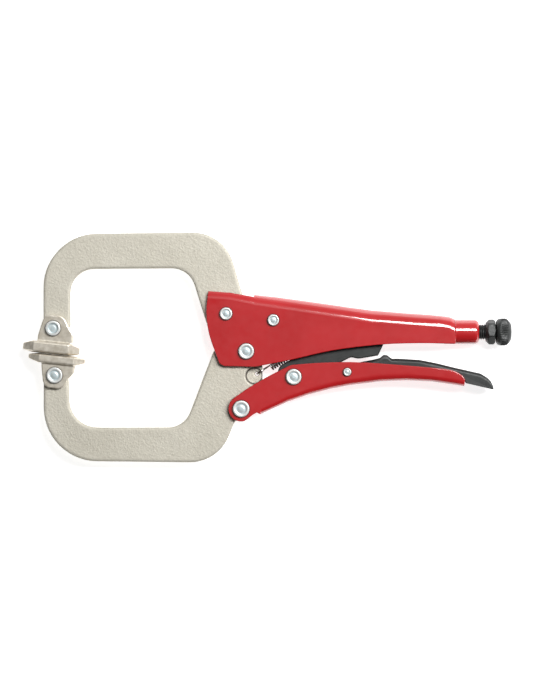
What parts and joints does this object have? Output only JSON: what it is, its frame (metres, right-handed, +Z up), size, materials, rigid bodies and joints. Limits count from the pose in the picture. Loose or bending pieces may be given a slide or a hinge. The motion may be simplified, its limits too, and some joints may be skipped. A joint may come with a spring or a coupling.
{
  "type": "locking c-clamp pliers",
  "caption": "Hand-held locking clamp: deep C jaws with swivel pads, an over-centre toggle between red channel handles, an adjusting screw and a release lever.",
  "frame": {"origin": "on the main pivot's axis, in the plane of the lower rivet heads that the tool rests on when it lies on its side", "axes": "+X from the jaws to the adjusting knob, along the screw; +Y from the moving handle to the fixed handle; +Z up through the thickness, along every pivot"},
  "size_m": [0.2817, 0.1324, 0.0186],
  "materials": {
    "red_paint": "glossy red powder coat on pressed steel",
    "plated_forging": "dull nickel plating on a pebbled forged surface",
    "plated_pad": "satin nickel plating, slightly yellow",
    "bright_zinc": "bright zinc plating",
    "black_oxide": "satin black oxide on steel",
    "spring_steel": "bright drawn wire"
  },
  "bodies": {
    "fixed_handle": {"fixed_handle": "red_paint", "threaded_bush": "black_oxide", "fixed_jaw": "plated_forging", "tension_spring": "spring_steel", "main_pivot_rivet": "bright_zinc", "jaw_rivet_front": "bright_zinc", "jaw_rivet_rear": "bright_zinc", "upper_pad_rivet": "bright_zinc"},
    "moving_jaw": {"moving_jaw": "plated_forging", "handle_pivot_rivet": "bright_zinc", "lower_pad_rivet": "bright_zinc"},
    "moving_handle": {"moving_handle": "red_paint", "link_rivet": "bright_zinc", "lever_rivet": "bright_zinc"},
    "toggle_link": {"toggle_link": "black_oxide"},
    "release_lever": {"release_lever": "black_oxide"},
    "lock_nut": {"lock_nut": "black_oxide"},
    "adjusting_screw": {"adjusting_screw": "black_oxide"},
    "upper_pad": {"upper_pad": "plated_pad"},
    "lower_pad": {"lower_pad": "plated_pad"}
  },
  "joints": [
    {"name": "jaw_open", "type": "hinge", "parent": "fixed_handle", "child": "moving_jaw", "pos_m": [0, 0, 0.0093], "axis": [0, 0, 1], "range_deg": [0, 27], "deforming": ["tension_spring"]},
    {"name": "handle_swing", "type": "hinge", "parent": "moving_jaw", "child": "moving_handle", "pos_m": [-0.0029, -0.0331, 0.0093], "axis": [0, 0, 1], "range_deg": [-73, 0]},
    {"name": "link_fold", "type": "hinge", "parent": "moving_handle", "child": "toggle_link", "pos_m": [0.0273, -0.0147, 0.0093], "axis": [0, 0, 1], "range_deg": [0, 79]},
    {"name": "release_press", "type": "hinge", "parent": "moving_handle", "child": "release_lever", "pos_m": [0.0581, -0.0119, 0.0093], "axis": [0, 0, 1], "range_deg": [0, 3], "stiffness_Nm_per_rad": 0.4},
    {"name": "screw_travel", "type": "slide", "parent": "fixed_handle", "child": "lock_nut", "axis": [1, 0, 0], "range_m": [0, 0.03]},
    {"name": "screw_turn", "type": "hinge", "parent": "lock_nut", "child": "adjusting_screw", "pos_m": [0.088, 0.0111, 0.0093], "axis": [1, 0, 0], "range_deg": [0, 8645]},
    {"name": "upper_pad_swivel", "type": "hinge", "parent": "fixed_handle", "child": "upper_pad", "pos_m": [-0.1111, 0.0132, 0.0093], "axis": [0, 0, 1], "range_deg": [-25, 25]},
    {"name": "lower_pad_swivel", "type": "hinge", "parent": "moving_jaw", "child": "lower_pad", "pos_m": [-0.1102, -0.0138, 0.0093], "axis": [0, 0, 1], "range_deg": [-25, 25]}
  ],
  "couplings": [
    {"joint": "handle_swing", "follows": "jaw_open", "ratio": -2.6667},
    {"joint": "link_fold", "follows": "jaw_open", "ratio": 2.9},
    {"joint": "upper_pad_swivel", "follows": "jaw_open", "ratio": 0.5},
    {"joint": "lower_pad_swivel", "follows": "jaw_open", "ratio": -0.5},
    {"joint": "screw_turn", "follows": "screw_travel", "rad_per_m": 5026.5}
  ]
}
